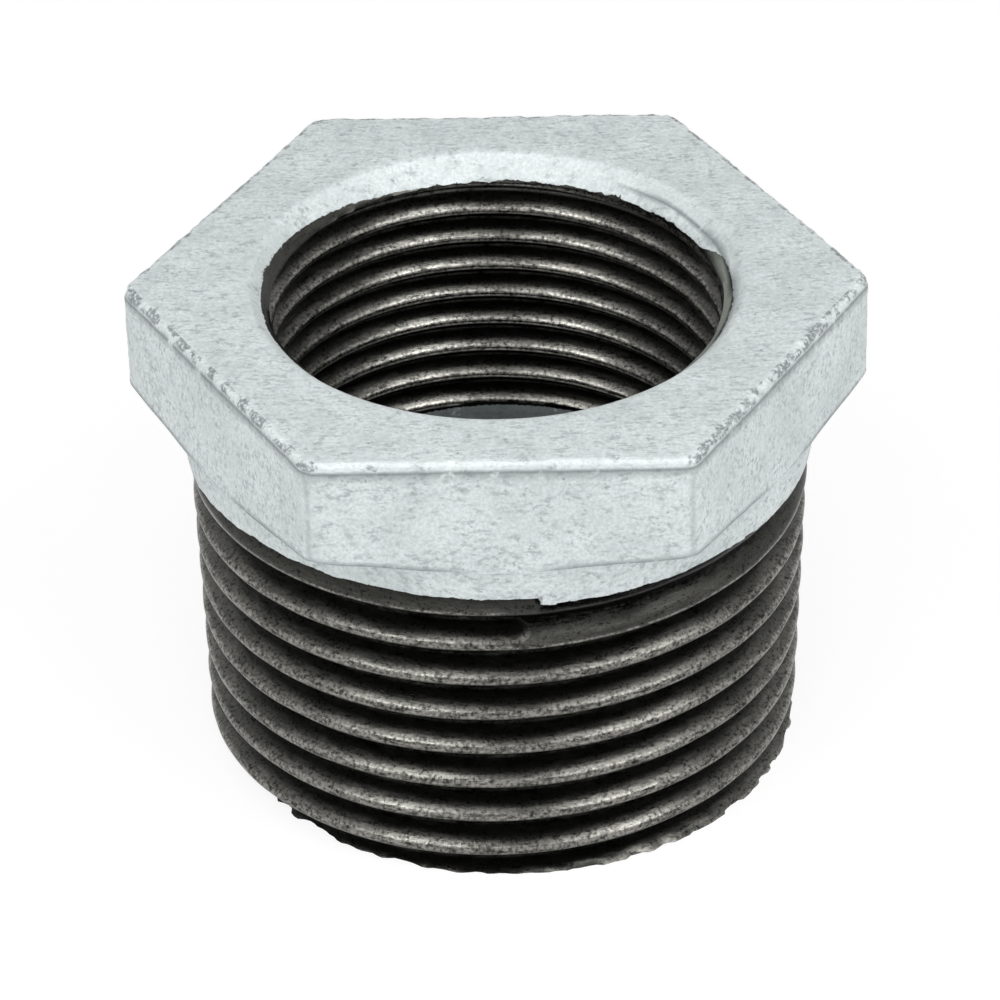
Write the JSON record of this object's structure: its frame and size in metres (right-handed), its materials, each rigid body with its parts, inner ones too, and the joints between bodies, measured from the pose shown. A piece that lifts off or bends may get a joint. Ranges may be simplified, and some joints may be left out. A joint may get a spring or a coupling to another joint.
{
  "type": "hexagon reducing bush",
  "caption": "Galvanised malleable iron reducing bush: hexagon head, taper male pipe thread outside, smaller parallel female pipe thread inside.",
  "frame": {"origin": "centre of the end face at the small end of the male thread", "axes": "+Z along the axis, from the small end to the hexagon head; two flats of the hexagon face +Y and -Y"},
  "size_m": [0.04, 0.035, 0.028],
  "materials": {
    "galvanised_iron": "hot-dip galvanised casting, with both threads cut bare and oiled"
  },
  "bodies": {
    "root": {"hex_bushing": "galvanised_iron"}
  },
  "joints": []
}
